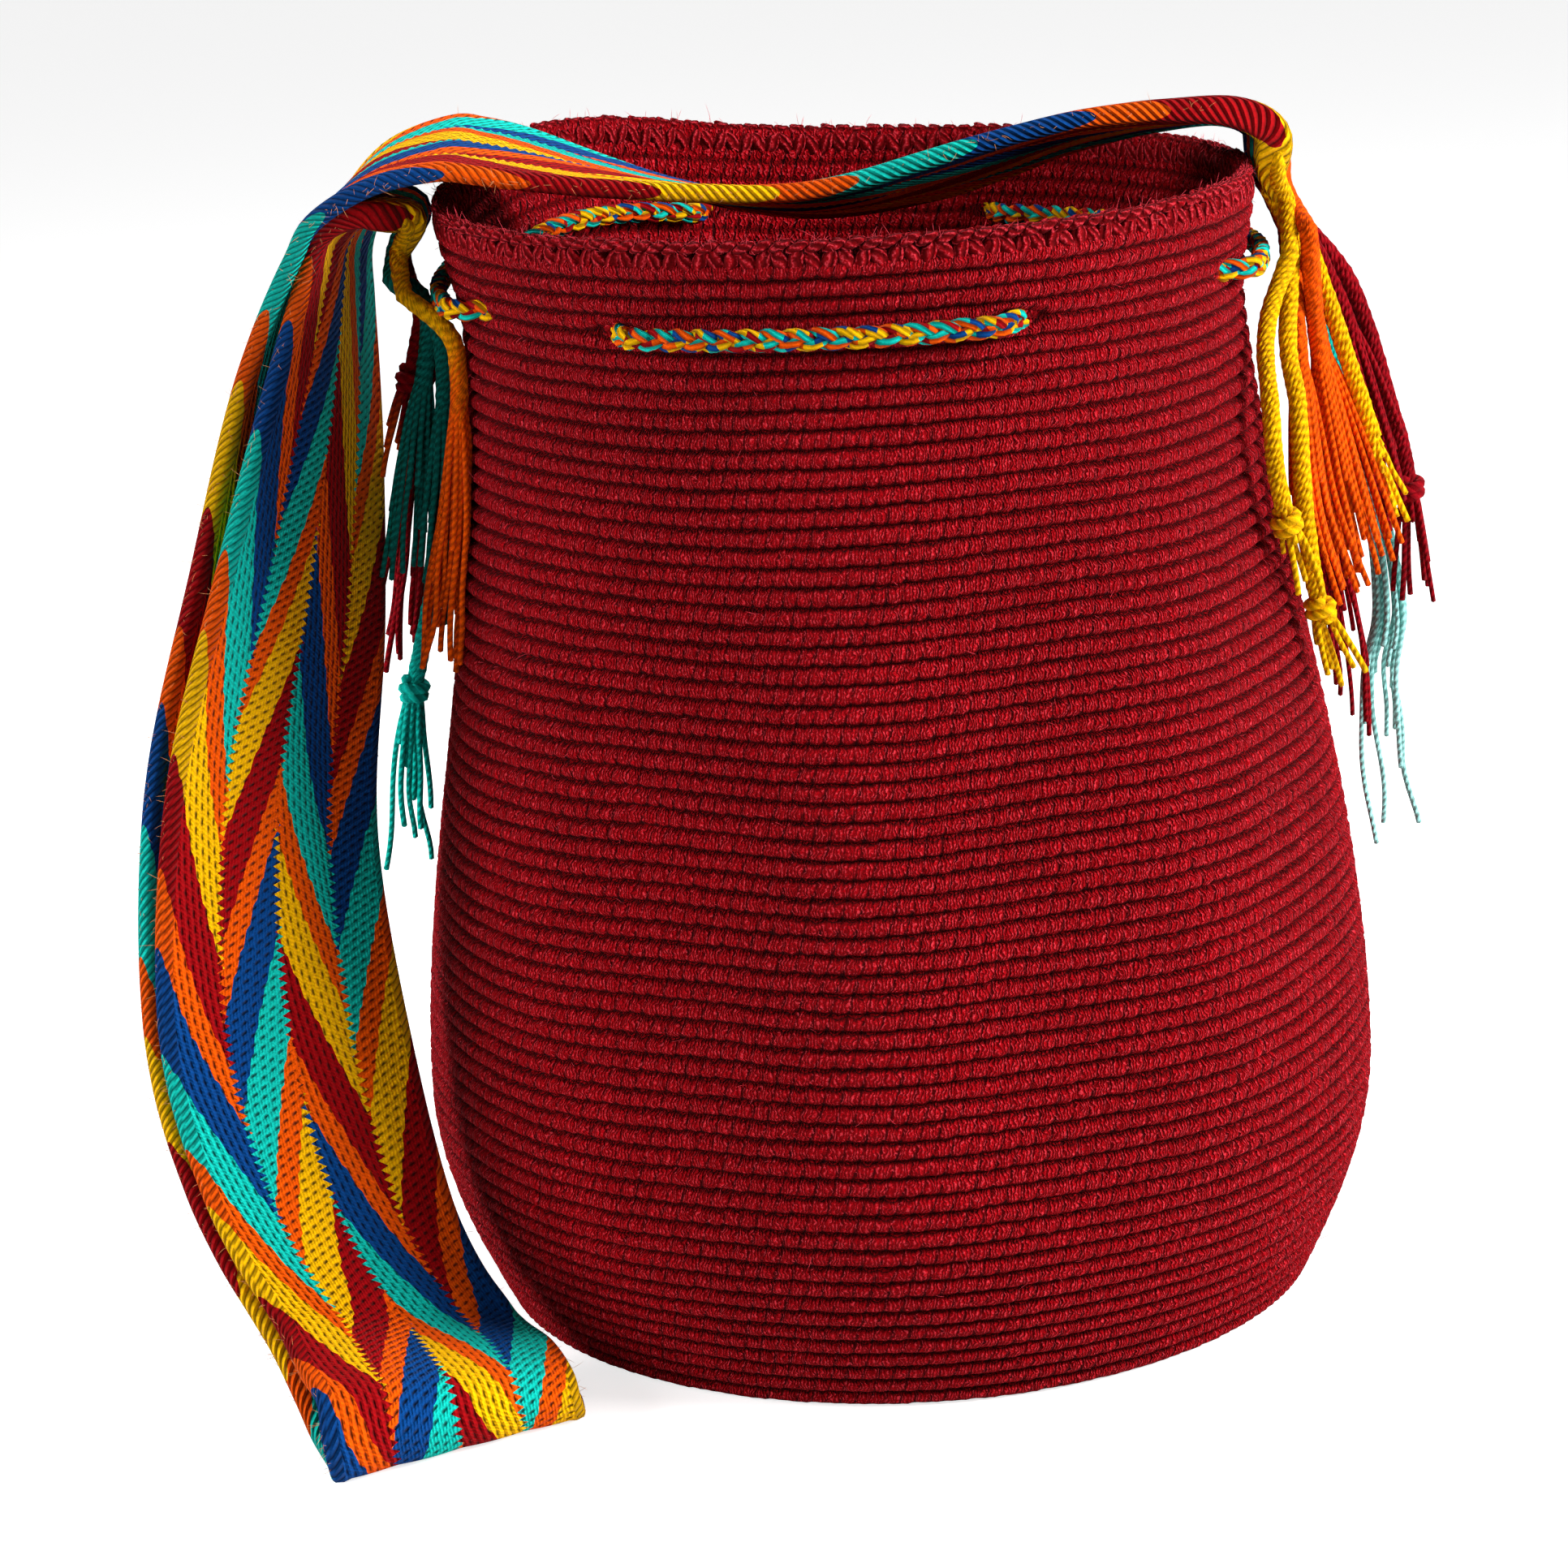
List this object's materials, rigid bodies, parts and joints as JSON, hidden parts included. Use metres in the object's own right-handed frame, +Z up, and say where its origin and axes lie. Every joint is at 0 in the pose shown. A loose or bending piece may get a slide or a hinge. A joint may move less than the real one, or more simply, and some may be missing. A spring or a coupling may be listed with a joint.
{
  "type": "wayuu mochila bag",
  "caption": "Crocheted bucket bag with a drawstring mouth, a woven zigzag shoulder strap hung over its mouth to one side, and knotted fringe at both strap ends.",
  "frame": {"origin": "centre of the flat base, on the surface that the bag stands on", "axes": "+Z up, -Y to the front that the picture shows, +X to the viewer's right, with the strap's free loop on the -X side"},
  "size_m": [0.3841, 0.3089, 0.3541],
  "materials": {
    "bag_yarn": "matte crocheted cotton yarn",
    "strap_yarn": "matte woven yarn in a zigzag of six colours",
    "cord_yarn": "matte braid of mixed yarns",
    "yellow_yarn": "matte plied yarn",
    "orange_yarn": "matte plied yarn",
    "dark_red_yarn": "matte plied yarn",
    "turquoise_yarn": "matte plied yarn"
  },
  "bodies": {
    "root": {"bag_body": "bag_yarn", "strap": "strap_yarn", "drawstring": "cord_yarn", "fringe_right_yellow_1": "yellow_yarn", "fringe_right_yellow_2": "yellow_yarn", "fringe_right_yellow_3": "yellow_yarn", "fringe_right_orange_1": "orange_yarn", "fringe_right_orange_2": "orange_yarn", "fringe_right_orange_3": "orange_yarn", "fringe_right_red_1": "dark_red_yarn", "fringe_right_red_2": "dark_red_yarn", "fringe_right_red_3": "dark_red_yarn", "fringe_right_turquoise": "turquoise_yarn", "fringe_left_orange": "orange_yarn", "fringe_left_teal_1": "turquoise_yarn", "fringe_left_teal_2": "turquoise_yarn", "fringe_left_turquoise": "turquoise_yarn", "fringe_left_red_1": "dark_red_yarn", "fringe_left_red_2": "dark_red_yarn"}
  },
  "joints": []
}
